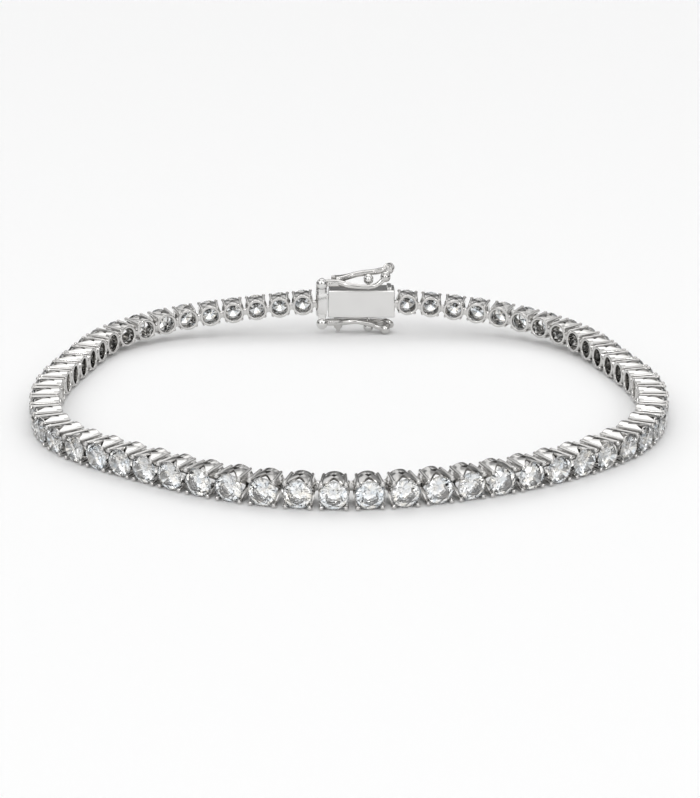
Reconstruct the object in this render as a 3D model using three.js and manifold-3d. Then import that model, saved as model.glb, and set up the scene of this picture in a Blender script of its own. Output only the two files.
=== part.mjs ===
// Tennis bracelet: a closed line of four prong links with round cut stones, standing on its edge.
// Millimetres, +Z up, front of the bracelet at -Y, clasp at the back at +Y.
// The origin is the middle of the underside of the whole piece.

import * as THREE from "three";
import { mergeVertices } from "three/addons/utils/BufferGeometryUtils.js";
import Module from "manifold-3d";

const wasm = await Module();
wasm.setup();

// Line of links
const linkPitch = 2.76; // from one link hinge to the next, along the line
const linksRight = 30; // links from the clasp box round to the front centre
const linksLeft = 31; // links from the front centre round to the clasp tongue
const metalGap = 0.3; // clearance between separate pieces of metal

// One link: a ring on the inside, four prongs and a round cut stone facing outward
const ringHalfWidth = 1.25; // along the line
const ringHalfHeight = 1.22; // up and down, from the middle to the flats that it rests on
const ringHoleRadius = 0.9;
const ringDepth = 0.85; // through the thickness of the band
const hingeDepth = 0.65; // from the inner face of the rings to the line of hinges
const neckHeight = 0.9; // the flat bar that joins two rings at mid height
const neckDepth = 0.55;
const neckInset = 0.08; // the bar lies this far below the inner face of the rings
const stoneDiameter = 2.5;
const stoneTableShare = 0.56; // width of the flat table as a share of the stone's width
const stoneSides = 8;
const crownHeight = 0.38;
const pavilionDepth = 1.07;
const girdleDepth = 2.53; // from the inner face of the ring to the widest edge of the stone
const diagonal = 45; // degrees from the line of links to each prong
const prongHalfAngle = 16; // degrees that a prong's root takes on each side of the diagonal
const prongTipInner = 1.12; // tip of a prong from the stone's middle, nearest edge
const prongTipOuter = 1.52; // and farthest edge
const prongTipWidth = 0.36;
const prongTipRise = 0.34; // prong tip beyond the stone's widest edge

// Fineness of round pieces
const beadSides = 10;
const barrelSides = 12;
const wireSides = 6;
const cornerSteps = 4;
const mergeTolerance = 0.01; // flat neighbours closer than this become one face

// Box clasp
const boxLength = 7.8;
const boxHeight = 3.3;
const boxDepth = 3.0;
const boxWall = 0.4;
const boxEdgeRound = 0.25;
const capLength = 1.25; // end cap of the tongue, beside the open end of the box
const capHeight = 3.1;
const capDepth = 2.7;
const capRound = 0.55;
const tongueRoot = 0.4; // the tongue runs this far into the end cap
const tongueLength = 5.4; // folded spring tongue inside the box
const tongueLeaf = 0.4; // thickness of each leaf of the tongue
const tongueFreeEnd = 1.2; // from the end cap to the free end of the tongue's outer leaf
const stopLength = 0.6; // raised stop on top of the box, at its closed end
const stopHeight = 0.3;
const stopInset = 0.35; // from the stop to the ends and sides of the box

// Safety latches, one above and one below the box
const pivotDepth = 0.85; // middle of the hinge from the inner face of the box
const pivotLift = 0.76; // hinge axis above the edge of the box
const pivotShift = 0.1; // hinge axis from the middle of the end cap, toward the box
const pinRadius = 0.17; // hinge pin of each latch
const pinClearance = 0.1; // between the pin and the barrel of the latch
const barrelRadius = 0.48;
const barrelWidth = 0.64;
const earWidth = 0.3; // the two ears on the end cap that hold the pin
const earGap = 0.14; // between an ear and the barrel
const earRadius = 0.42;
const pinHeadRadius = 0.68; // domed head of the pin, on the inner ear
const pinHeadRise = 0.48;
const domeShoulder = 0.75; // the dome's bend, as a share of its radius and of its rise
const stemThickness = 0.85; // flat stem from the barrel to the rail and the band
const stemReach = 1.8; // end of the stem from the open end of the box
const railRadius = 0.28; // the wire on the inner side of the eye of the latch
const bandThickness = 0.55; // the flat band on the outer side of the eye
const bandWidth = 0.75;
const eyeHalfWidth = 1.0; // from the middle plane of the eye to the wire and to the band's edge
const latchDepth = 1.25; // middle plane of the eye from the inner face of the box
const catchBallRadius = 0.62; // ball on a post, which stands in the eye of the closed latch
const catchPostRadius = 0.22;
const catchReach = 4.7; // catch ball from the open end of the box
const upperCatchLift = 1.08; // catch balls from the edge of the box
const lowerCatchLift = 1.4;
const endBallRadius = 0.62;
const endBallReach = 6.7; // end ball from the open end of the box
const endBallLift = 1.52; // end ball from the edge of the box
const endBallDepth = 0.6; // end ball from the inner face of the box
const tabRadius = 0.8; // rounded thumb tab behind the end ball
const tabThickness = 0.5;
const tabLean = 27; // degrees that the tab tips back toward the end cap
const tabTilt = 40; // degrees that its face tips toward the wearer
const tabDepth = 1.9; // thumb tab from the inner face of the box
const nubReach = 1.07; // pointed nub under the stem of the lower latch
const nubRadius = 0.6;
const nubTipRadius = 0.2;
const nubLift = 1.95; // tip of the nub from the edge of the box

// Wire of each latch from the stem to the end ball. The columns are the distance from the open end
// of the box as a share of the end ball's, the lift as a share of the end ball's, and the share of
// the eye's half width that the wire stands out from the middle.
const upperRail = [
  [0.15, 0.5, 0.4],
  [0.3, 0.41, 0.8],
  [0.48, 0.31, 1],
  [0.66, 0.26, 1],
  [0.78, 0.31, 1],
  [0.87, 0.5, 1],
  [0.94, 0.75, 0.9],
];
const lowerRail = [
  [0.15, 0.53, 0.4],
  [0.3, 0.42, 0.8],
  [0.45, 0.34, 1],
  [0.58, 0.43, 1],
  [0.75, 0.58, 1],
  [0.87, 0.79, 1],
];

// Band of each latch from beside the stem to the thumb tab, with the first two columns as above
const upperBand = [
  [0.04, 0.68],
  [0.28, 0.76],
  [0.55, 1.03],
  [0.8, 1.17],
  [0.92, 1.29],
  [1.05, 1.45],
];
const lowerBand = [
  [0.08, 0.6],
  [0.28, 0.62],
  [0.55, 0.66],
  [0.8, 0.7],
  [0.92, 0.73],
  [1.05, 0.78],
];
const webStart = 0.13; // the band reaches forward to the stem between these shares
const webEnd = 0.3;

// Shape of the loop seen from above: chosen points of the hinge line, as numbers of links from the
// middle of the clasp, from the box end round the right side, the front and the left side
const loopPoints = [
  [3.77, -0.04],
  [6.62, -0.8],
  [8.78, -2.75],
  [9.84, -5.54],
  [10.38, -9.53],
  [9.18, -13.41],
  [6.26, -16.05],
  [2.61, -17.7],
  [-0.33, -18.23],
  [-3.26, -17.78],
  [-6.77, -15.91],
  [-9.77, -13.35],
  [-10.89, -9.53],
  [-10.6, -5.54],
  [-9.77, -2.68],
  [-7.5, -0.83],
  [-4.64, -0.18],
];
const riseLinks = 11.5; // links on each side over which the line climbs to the clasp
const risePower = 1.2; // above 1 the climb starts gently

// Worked out from the sizes above
const linkCount = linksRight + linksLeft;
const ringToHinge = linkPitch / 2 - ringHalfWidth;
const claspBodyLength = capLength + metalGap + boxLength;
const claspSpan = claspBodyLength + 2 * (metalGap - ringToHinge);
const claspMiddleHeight = boxHeight / 2 + endBallLift + endBallRadius;
const restingHeight = ringHalfHeight;
const innerFace = -hingeDepth;
const capStart = -claspBodyLength / 2;
const boxStart = capStart + capLength + metalGap;
const axisX = capStart + capLength / 2 + pivotShift;
const pivotMiddle = innerFace + pivotDepth;
const latchMiddle = innerFace + latchDepth;
const boxEdge = boxHeight / 2;
const up = new THREE.Vector3(0, 0, 1);
const alongX = new THREE.Vector3(1, 0, 0);
const alongY = new THREE.Vector3(0, 1, 0);

// A closed three.js geometry as a solid that can be joined and cut
function toSolid(geometry, matrix = new THREE.Matrix4()) {
  const bare = geometry.clone().applyMatrix4(matrix);
  for (const name of Object.keys(bare.attributes)) {
    if (name !== "position") bare.deleteAttribute(name);
  }
  const merged = mergeVertices(bare, 1e-5);
  const index = merged.index.array;
  const triangles = [];
  for (let i = 0; i < index.length; i += 3) {
    const [a, b, c] = [index[i], index[i + 1], index[i + 2]];
    if (a !== b && b !== c && c !== a) triangles.push(a, b, c);
  }
  return new wasm.Manifold(new wasm.Mesh({
    numProp: 3,
    vertProperties: new Float32Array(merged.attributes.position.array),
    triVerts: new Uint32Array(triangles),
  }));
}

function toMesh(solid, name, material) {
  const { vertProperties, triVerts } = solid.getMesh();
  const geometry = new THREE.BufferGeometry();
  geometry.setAttribute("position", new THREE.BufferAttribute(vertProperties, 3));
  geometry.setIndex(new THREE.BufferAttribute(triVerts, 1));
  geometry.computeVertexNormals();
  const mesh = new THREE.Mesh(geometry, material);
  mesh.name = name;
  return mesh;
}

function join(solids) {
  return wasm.Manifold.union(solids);
}

function shift(x, y, z) {
  return new THREE.Matrix4().makeTranslation(x, y, z);
}

// Regular polygon whose flats lie at the given radius, with a flat at the bottom
function flatPolygon(radius, sides) {
  const points = [];
  for (let i = 0; i < sides; i += 1) {
    const angle = ((i + 0.5) * 2 * Math.PI) / sides;
    const corner = radius / Math.cos(Math.PI / sides);
    points.push(new THREE.Vector2(corner * Math.cos(angle), corner * Math.sin(angle)));
  }
  return points;
}

// Outline drawn in the X and Z plane, made solid from one depth to another along Y
function outlineAlongY(shape, fromY, toY, bevel = 0) {
  const geometry = new THREE.ExtrudeGeometry(shape, {
    depth: toY - fromY - 2 * bevel,
    steps: 1,
    curveSegments: cornerSteps,
    bevelEnabled: bevel > 0,
    bevelSize: bevel,
    bevelThickness: bevel,
    bevelOffset: -bevel,
    bevelSegments: 1,
  });
  const turn = new THREE.Matrix4().makeRotationX(Math.PI / 2);
  return toSolid(geometry, shift(0, toY - bevel, 0).multiply(turn));
}

// Outline drawn in the X and Y plane, made solid from one height to another
function outlineAlongZ(shape, fromZ, toZ) {
  const options = { depth: toZ - fromZ, steps: 1, curveSegments: cornerSteps, bevelEnabled: false };
  return toSolid(new THREE.ExtrudeGeometry(shape, options), shift(0, 0, fromZ));
}

function roundedRectangle(x0, z0, x1, z1, r) {
  const shape = new THREE.Shape();
  shape.moveTo(x0 + r, z0);
  shape.lineTo(x1 - r, z0);
  shape.absarc(x1 - r, z0 + r, r, -Math.PI / 2, 0);
  shape.lineTo(x1, z1 - r);
  shape.absarc(x1 - r, z1 - r, r, 0, Math.PI / 2);
  shape.lineTo(x0 + r, z1);
  shape.absarc(x0 + r, z1 - r, r, Math.PI / 2, Math.PI);
  shape.lineTo(x0, z0 + r);
  shape.absarc(x0 + r, z0 + r, r, Math.PI, 1.5 * Math.PI);
  return shape;
}

function block(x0, y0, z0, x1, y1, z1) {
  const geometry = new THREE.BoxGeometry(x1 - x0, y1 - y0, z1 - z0);
  return toSolid(geometry, shift((x0 + x1) / 2, (y0 + y1) / 2, (z0 + z1) / 2));
}

// Straight bar with the given number of sides between two points
function bar(from, to, radius, sides) {
  const length = from.distanceTo(to);
  const geometry = new THREE.CylinderGeometry(radius, radius, length, sides);
  const direction = to.clone().sub(from).normalize();
  const turn = new THREE.Quaternion().setFromUnitVectors(new THREE.Vector3(0, 1, 0), direction);
  const middle = from.clone().add(to).multiplyScalar(0.5);
  return toSolid(geometry, new THREE.Matrix4().compose(middle, turn, new THREE.Vector3(1, 1, 1)));
}

function ball(centre, radius) {
  const geometry = new THREE.SphereGeometry(radius, beadSides, beadSides / 2);
  return toSolid(geometry, shift(centre.x, centre.y, centre.z));
}

// Round wire bent through the given points
function wire(points, radius, steps) {
  const section = new THREE.Shape(flatPolygon(radius, wireSides));
  const path = new THREE.CatmullRomCurve3(points);
  const options = { steps, bevelEnabled: false, extrudePath: path };
  return toSolid(new THREE.ExtrudeGeometry(section, options));
}

// One link in its own frame: X along the line, Y outward from the hinge line, Z up
// The ring has a corner at each side and two at the root of each prong. The four short faces
// between the pairs of corners are drawn out into the prongs.
function makeSetting() {
  const straight = 4 * diagonal;
  const angles = [0];
  for (const prong of [diagonal, 3 * diagonal]) angles.push(prong - prongHalfAngle, prong + prongHalfAngle);
  angles.push(...angles.map((angle) => angle + straight));
  const half = ringHalfHeight / Math.cos(THREE.MathUtils.degToRad(diagonal - prongHalfAngle));
  const front = innerFace + ringDepth;
  const tipDepth = innerFace + girdleDepth + prongTipRise;
  const points = [];
  const faces = [];
  const quad = (a, b, c, d) => faces.push(a, b, c, a, c, d);
  const addPoint = (angle, radius, depth, aside = 0) => {
    const turn = THREE.MathUtils.degToRad(angle);
    const x = radius * Math.cos(turn) - aside * Math.sin(turn);
    const z = radius * Math.sin(turn) + aside * Math.cos(turn);
    points.push(x, depth, z);
    return points.length / 3 - 1;
  };
  const corners = angles.map((angle) => {
    const outer = angle % straight === 0 ? ringHalfWidth : half;
    return {
      outerBack: addPoint(angle, outer, innerFace),
      outerFront: addPoint(angle, outer, front),
      innerBack: addPoint(angle, ringHoleRadius, innerFace),
      innerFront: addPoint(angle, ringHoleRadius, front),
    };
  });
  corners.forEach((a, i) => {
    const b = corners[(i + 1) % corners.length];
    quad(a.outerBack, b.outerBack, b.innerBack, a.innerBack);
    quad(a.outerBack, a.outerFront, b.outerFront, b.outerBack);
    quad(a.innerFront, a.innerBack, b.innerBack, b.innerFront);
    const middle = (angles[i] + (angles[i + 1] ?? 2 * straight)) / 2;
    const isProng = (middle + diagonal) % (2 * diagonal) === 0;
    if (!isProng) {
      quad(a.innerFront, b.innerFront, b.outerFront, a.outerFront);
      return;
    }
    const side = prongTipWidth / 2;
    const aInner = addPoint(middle, prongTipInner, tipDepth, -side);
    const bInner = addPoint(middle, prongTipInner, tipDepth, side);
    const aOuter = addPoint(middle, prongTipOuter, tipDepth, -side);
    const bOuter = addPoint(middle, prongTipOuter, tipDepth, side);
    quad(aInner, bInner, bOuter, aOuter);
    quad(a.innerFront, b.innerFront, bInner, aInner);
    quad(a.outerFront, aOuter, bOuter, b.outerFront);
    quad(a.innerFront, aInner, aOuter, a.outerFront);
    quad(b.innerFront, b.outerFront, bOuter, bInner);
  });
  const geometry = new THREE.BufferGeometry();
  geometry.setAttribute("position", new THREE.Float32BufferAttribute(points, 3));
  geometry.setIndex(faces);
  return toSolid(geometry);
}

// Eight sided stone with a flat table, a flat side towards each prong and a pointed underside
function makeStone() {
  const radius = stoneDiameter / 2 / Math.cos(Math.PI / stoneSides);
  const girdle = innerFace + girdleDepth;
  const profile = [
    new THREE.Vector2(0, girdle - pavilionDepth),
    new THREE.Vector2(radius, girdle),
    new THREE.Vector2(radius * stoneTableShare, girdle + crownHeight),
    new THREE.Vector2(0, girdle + crownHeight),
  ];
  return toSolid(new THREE.LatheGeometry(profile, stoneSides, Math.PI / stoneSides));
}

// Flat bar from the ring of one link to the ring of the next, given both links' frames
function makeNeck(frameA, frameB) {
  const reach = (ringHalfWidth + ringHoleRadius) / 2;
  const inner = innerFace + neckInset;
  const outer = innerFace + neckDepth;
  const half = neckHeight / 2;
  const geometry = new THREE.BoxGeometry(2, 2, 2);
  const position = geometry.attributes.position;
  for (let i = 0; i < position.count; i += 1) {
    const frame = position.getX(i) < 0 ? frameA : frameB;
    const along = position.getX(i) < 0 ? reach : -reach;
    const depth = position.getY(i) < 0 ? inner : outer;
    const corner = new THREE.Vector3(along, depth, position.getZ(i) * half).applyMatrix4(frame);
    position.setXYZ(i, corner.x, corner.y, corner.z);
  }
  return toSolid(geometry);
}

// Height of a hinge that lies the given number of links from the clasp
function hingeHeight(linksFromClasp) {
  const share = Math.max(0, 1 - linksFromClasp / riseLinks);
  return restingHeight + (claspMiddleHeight - restingHeight) * share ** risePower;
}

// Points stepped along a dense line so that each step is one link long in space
function stepAlong(line, heights) {
  const hinges = [line[0].clone().setZ(heights[0])];
  let at = 0;
  for (let step = 1; step < heights.length; step += 1) {
    const from = hinges[step - 1];
    const climb = heights[step] - heights[step - 1];
    const reach = Math.sqrt(linkPitch ** 2 - climb ** 2);
    const flatDistance = (point) => Math.hypot(point.x - from.x, point.y - from.y);
    while (at < line.length - 1 && flatDistance(line[at + 1]) < reach) at += 1;
    const near = flatDistance(line[at]);
    const far = flatDistance(line[Math.min(at + 1, line.length - 1)]);
    const share = far > near ? Math.min((reach - near) / (far - near), 1) : 1;
    const next = line[at].clone().lerp(line[Math.min(at + 1, line.length - 1)], share);
    hinges.push(next.setZ(heights[step]));
    if (at >= line.length - 1) return { hinges, spare: -(heights.length - 1 - step) - 1 };
  }
  const last = hinges[hinges.length - 1];
  const end = line[line.length - 1];
  return { hinges, spare: Math.hypot(end.x - last.x, end.y - last.y) };
}

// The loop is spread until exactly all links fit between the two ends of the clasp
function makeHinges() {
  const heights = [];
  for (let i = 0; i <= linkCount; i += 1) heights.push(hingeHeight(Math.min(i, linkCount - i)));
  const start = new THREE.Vector3(claspSpan / 2, 0, 0);
  const end = new THREE.Vector3(-claspSpan / 2, 0, 0);
  let narrow = 0.6;
  let wide = 1.6;
  let result = null;
  for (let round = 0; round < 40; round += 1) {
    const spread = (narrow + wide) / 2;
    const scale = spread * linkPitch;
    const middle = loopPoints.map(([x, y]) => new THREE.Vector3(x * scale, y * scale, 0));
    const curve = new THREE.CatmullRomCurve3([start, ...middle, end]);
    result = stepAlong(curve.getPoints(6000), heights);
    if (result.spare > 0.002) wide = spread;
    else narrow = spread;
  }
  return result.hinges;
}

function linkFrames(hinges) {
  const frames = [];
  for (let i = 0; i < linkCount; i += 1) {
    const along = hinges[i + 1].clone().sub(hinges[i]).normalize();
    const outward = up.clone().cross(along).normalize();
    const top = along.clone().cross(outward);
    const frame = new THREE.Matrix4().makeBasis(along, outward, top);
    frame.setPosition(hinges[i].clone().add(hinges[i + 1]).multiplyScalar(0.5));
    frames.push(frame);
  }
  return frames;
}

function makeLine(frames) {
  const link = makeSetting().add(makeStone());
  const parts = frames.map((frame) => link.transform(frame.elements));
  for (let i = 1; i < frames.length; i += 1) parts.push(makeNeck(frames[i - 1], frames[i]));
  return join(parts);
}

// Clasp in its own frame: X along the band, Y outward, Z up, origin at the middle of the box and
// end cap together, on the hinge line
function claspPoint(reach, lift, depth) {
  return new THREE.Vector3(boxStart + reach, depth, boxEdge + lift);
}

function makeCatch(lift) {
  const middle = claspPoint(catchReach, lift, latchMiddle);
  const foot = claspPoint(catchReach, -boxWall / 2, latchMiddle);
  return bar(foot, middle, catchPostRadius, wireSides).add(ball(middle, catchBallRadius));
}

function makeBox() {
  const end = boxStart + boxLength;
  const outline = roundedRectangle(boxStart, -boxEdge, end, boxEdge, boxEdgeRound);
  const shell = outlineAlongY(outline, innerFace, innerFace + boxDepth, boxEdgeRound / 2);
  const hollow = block(
    boxStart - boxWall, innerFace + boxWall, -boxEdge + boxWall,
    end - boxWall, innerFace + boxDepth - boxWall, boxEdge - boxWall,
  );
  const stop = block(
    end - stopInset - stopLength, innerFace + stopInset, boxEdge - boxWall / 2,
    end - stopInset, innerFace + boxDepth - stopInset, boxEdge + stopHeight,
  );
  const lowerCatch = makeCatch(lowerCatchLift).mirror([0, 0, 1]);
  return join([shell.subtract(hollow), stop, makeCatch(upperCatchLift), lowerCatch]);
}

// Ears with the hinge pin and its domed head, above the end cap
function makeEars() {
  const axis = new THREE.Vector3(axisX, pivotMiddle, boxEdge + pivotLift);
  const parts = [];
  const outer = barrelWidth / 2 + earGap + earWidth;
  for (const side of [-1, 1]) {
    const shape = new THREE.Shape();
    shape.moveTo(axisX - earRadius, capHeight / 2 - earWidth);
    shape.lineTo(axisX + earRadius, capHeight / 2 - earWidth);
    shape.lineTo(axisX + earRadius, axis.z);
    shape.absarc(axisX, axis.z, earRadius, 0, Math.PI);
    const from = pivotMiddle + (side < 0 ? -outer : outer - earWidth);
    parts.push(outlineAlongY(shape, from, from + earWidth));
  }
  const pinEnd = axis.clone().setY(pivotMiddle + outer - earWidth / 2);
  parts.push(bar(axis.clone().setY(pivotMiddle - outer + earWidth / 2), pinEnd, pinRadius, beadSides));
  const head = [
    new THREE.Vector2(0, -pinHeadRise),
    new THREE.Vector2(pinHeadRadius * domeShoulder, -pinHeadRise * domeShoulder),
    new THREE.Vector2(pinHeadRadius, 0),
    new THREE.Vector2(0, earWidth / 2),
  ];
  parts.push(toSolid(new THREE.LatheGeometry(head, beadSides), shift(axisX, pivotMiddle - outer, axis.z)));
  return join(parts);
}

function makeTongue() {
  const capEnd = capStart + capLength;
  const capInner = innerFace + (boxDepth - capDepth) / 2;
  const cap = new THREE.Shape();
  cap.moveTo(capEnd, capInner);
  cap.lineTo(capEnd, capInner + capDepth);
  cap.lineTo(capStart + capRound, capInner + capDepth);
  cap.absarc(capStart + capRound, capInner + capDepth - capRound, capRound, Math.PI / 2, Math.PI);
  cap.lineTo(capStart, capInner + capRound);
  cap.absarc(capStart + capRound, capInner + capRound, capRound, Math.PI, 1.5 * Math.PI);
  const leaf = new THREE.Shape();
  const flat = innerFace + boxWall + metalGap;
  const sprung = innerFace + boxDepth - boxWall - metalGap;
  const tip = capEnd + tongueLength;
  leaf.moveTo(capEnd - tongueRoot, flat);
  leaf.lineTo(tip, flat);
  leaf.lineTo(tip, flat + 2 * tongueLeaf);
  leaf.lineTo(capEnd + tongueFreeEnd, sprung);
  leaf.lineTo(capEnd + tongueFreeEnd, sprung - tongueLeaf);
  leaf.lineTo(tip - tongueLeaf, flat + tongueLeaf);
  leaf.lineTo(capEnd - tongueRoot, flat + tongueLeaf);
  const halfWidth = boxEdge - boxWall - metalGap;
  const upperEars = makeEars();
  return join([
    outlineAlongZ(cap, -capHeight / 2, capHeight / 2),
    outlineAlongZ(leaf, -halfWidth, halfWidth),
    upperEars,
    upperEars.mirror([0, 0, 1]),
  ]);
}

// Pointed nub that stands on the stem, narrowing to a small flat tip
function makeNub() {
  const root = pivotLift;
  const profile = [
    new THREE.Vector2(0, root),
    new THREE.Vector2(nubRadius, root),
    new THREE.Vector2((nubRadius + nubTipRadius) / 2, (root + nubLift) / 2),
    new THREE.Vector2(nubTipRadius, nubLift),
    new THREE.Vector2(0, nubLift),
  ];
  const place = shift(boxStart + nubReach, pivotMiddle, boxEdge);
  const turn = new THREE.Matrix4().makeRotationX(Math.PI / 2);
  return toSolid(new THREE.LatheGeometry(profile, beadSides), place.multiply(turn));
}

// Flat band that follows points seen from the inner side, solid from one depth to another
function makeBand(points, fromY, toY) {
  const half = bandThickness / 2;
  const shape = new THREE.Shape();
  points.forEach((p, i) => (i ? shape.lineTo(p.x, p.z + half) : shape.moveTo(p.x, p.z + half)));
  points.slice().reverse().forEach((p) => shape.lineTo(p.x, p.z - half));
  return outlineAlongY(shape, fromY, toY);
}

function latchPoint([reach, lift, share = 0]) {
  return claspPoint(reach * endBallReach, lift * endBallLift, latchMiddle - share * eyeHalfWidth);
}

// One latch as it lies above the box; the lower one is made the same way and turned over
function makeLatch(rail, band, hasNub) {
  const axis = new THREE.Vector3(axisX, pivotMiddle, boxEdge + pivotLift);
  const ends = barrelWidth / 2;
  const barrel = bar(
    axis.clone().setY(pivotMiddle - ends), axis.clone().setY(pivotMiddle + ends),
    barrelRadius, barrelSides,
  );
  const stem = block(
    axisX, pivotMiddle - ends, axis.z - stemThickness / 2,
    boxStart + stemReach, pivotMiddle + ends, axis.z + stemThickness / 2,
  );
  const hole = bar(
    axis.clone().setY(pivotMiddle - barrelWidth), axis.clone().setY(pivotMiddle + barrelWidth),
    pinRadius + pinClearance, beadSides,
  );
  const endBall = claspPoint(endBallReach, endBallLift, innerFace + endBallDepth);
  const line = band.map(latchPoint);
  const near = latchMiddle + eyeHalfWidth - railRadius;
  const web = [webStart, webEnd].map((share) => {
    const next = band.findIndex(([reach]) => reach > share);
    const [from, to] = [band[next - 1], band[next]];
    const part = (share - from[0]) / (to[0] - from[0]);
    return latchPoint([share, from[1] + part * (to[1] - from[1])]);
  });
  const tab = line[line.length - 1].clone().setY(innerFace + tabDepth);
  const lean = new THREE.Vector3(0, 0, tabThickness / 2)
    .applyAxisAngle(alongY, -THREE.MathUtils.degToRad(tabLean))
    .applyAxisAngle(alongX, THREE.MathUtils.degToRad(tabTilt));
  const parts = [
    barrel.add(stem).subtract(hole),
    wire([...rail.map(latchPoint), endBall], railRadius, rail.length + 1),
    makeBand(line, near, near + bandWidth),
    makeBand(web, pivotMiddle, near + bandWidth / 2),
    bar(endBall, tab, railRadius, wireSides),
    ball(endBall, endBallRadius),
    bar(tab.clone().sub(lean), tab.clone().add(lean), tabRadius, beadSides),
  ];
  if (hasNub) parts.push(makeNub());
  return join(parts);
}

const frames = linkFrames(makeHinges());
const toHeight = shift(0, 0, claspMiddleHeight).elements;
const solids = {
  stone_line_right: makeLine(frames.slice(0, linksRight)),
  stone_line_left: makeLine(frames.slice(linksRight)),
  clasp_box: makeBox().transform(toHeight),
  clasp_tongue: makeTongue().transform(toHeight),
  safety_latch_top: makeLatch(upperRail, upperBand, false).transform(toHeight),
  safety_latch_bottom: makeLatch(lowerRail, lowerBand, true).mirror([0, 0, 1]).transform(toHeight),
};
const finishes = {
  stone_line: { color: 0xe6e9ee, roughness: 0.1, metalness: 0.7 },
  clasp: { color: 0xd9dadc, roughness: 0.2, metalness: 1 },
  safety_latch: { color: 0xdededf, roughness: 0.12, metalness: 1 },
};

const bracelet = new THREE.Group();
for (const [name, solid] of Object.entries(solids)) {
  const finish = Object.keys(finishes).find((key) => name.startsWith(key));
  const tidy = solid.simplify(mergeTolerance);
  bracelet.add(toMesh(tidy, name, new THREE.MeshStandardMaterial(finishes[finish])));
}
const bounds = new THREE.Box3().setFromObject(bracelet);
const middle = bounds.getCenter(new THREE.Vector3());
bracelet.position.set(-middle.x, -middle.y, -bounds.min.z);

export default bracelet;
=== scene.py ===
"""Tennis bracelet: a white gold line of round brilliants standing on its edge.

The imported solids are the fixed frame. This script dresses them with detailed settings, brilliant
cut stones, the box clasp and its two safety latches, and builds the floor, lights and camera.
Sizes are in millimetres until a mesh is made, and the meshes are in metres.
"""

from __future__ import annotations

import logging
import math
import random
from dataclasses import dataclass, field
from enum import Enum
from typing import Any, Iterable, Sequence

import bmesh
import bpy
import numpy as np
from mathutils import Matrix, Vector

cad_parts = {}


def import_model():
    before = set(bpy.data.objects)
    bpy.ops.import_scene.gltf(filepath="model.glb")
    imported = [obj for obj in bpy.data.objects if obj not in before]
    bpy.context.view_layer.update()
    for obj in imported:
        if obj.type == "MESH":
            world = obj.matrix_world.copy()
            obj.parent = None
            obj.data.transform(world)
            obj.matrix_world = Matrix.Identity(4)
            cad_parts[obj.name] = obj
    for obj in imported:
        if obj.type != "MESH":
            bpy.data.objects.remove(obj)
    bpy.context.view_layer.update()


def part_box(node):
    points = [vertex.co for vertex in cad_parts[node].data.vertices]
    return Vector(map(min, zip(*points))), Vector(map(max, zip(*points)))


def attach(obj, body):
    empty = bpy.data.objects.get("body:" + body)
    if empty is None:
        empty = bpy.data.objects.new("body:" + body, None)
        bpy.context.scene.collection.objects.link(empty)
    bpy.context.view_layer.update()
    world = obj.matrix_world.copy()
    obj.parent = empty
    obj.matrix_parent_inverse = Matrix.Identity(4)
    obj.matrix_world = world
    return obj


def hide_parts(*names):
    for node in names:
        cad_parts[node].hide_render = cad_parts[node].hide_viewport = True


LOG = logging.getLogger("bracelet")
MM = 0.001
CREASE_ANGLE = 42.0
# The domed end of a wire: how far each ring stands beyond the end and how wide it is, in radii.
DOME = ((0.9, 0.4), (0.55, 0.8))
RIM_SHARE = 0.3
EDGE_STEPS = 3
NECK_SUNK = 0.1

Point = Sequence[float]
Face = tuple[int, ...]
Colour = tuple[float, float, float]


class Body(Enum):
    """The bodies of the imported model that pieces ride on."""

    BRACELET = "bracelet"
    LATCH_TOP = "latch_top"
    LATCH_BOTTOM = "latch_bottom"


class Side(Enum):
    """Which of the two latches is built: its sign is the direction away from the box."""

    TOP = 1
    BOTTOM = -1


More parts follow.
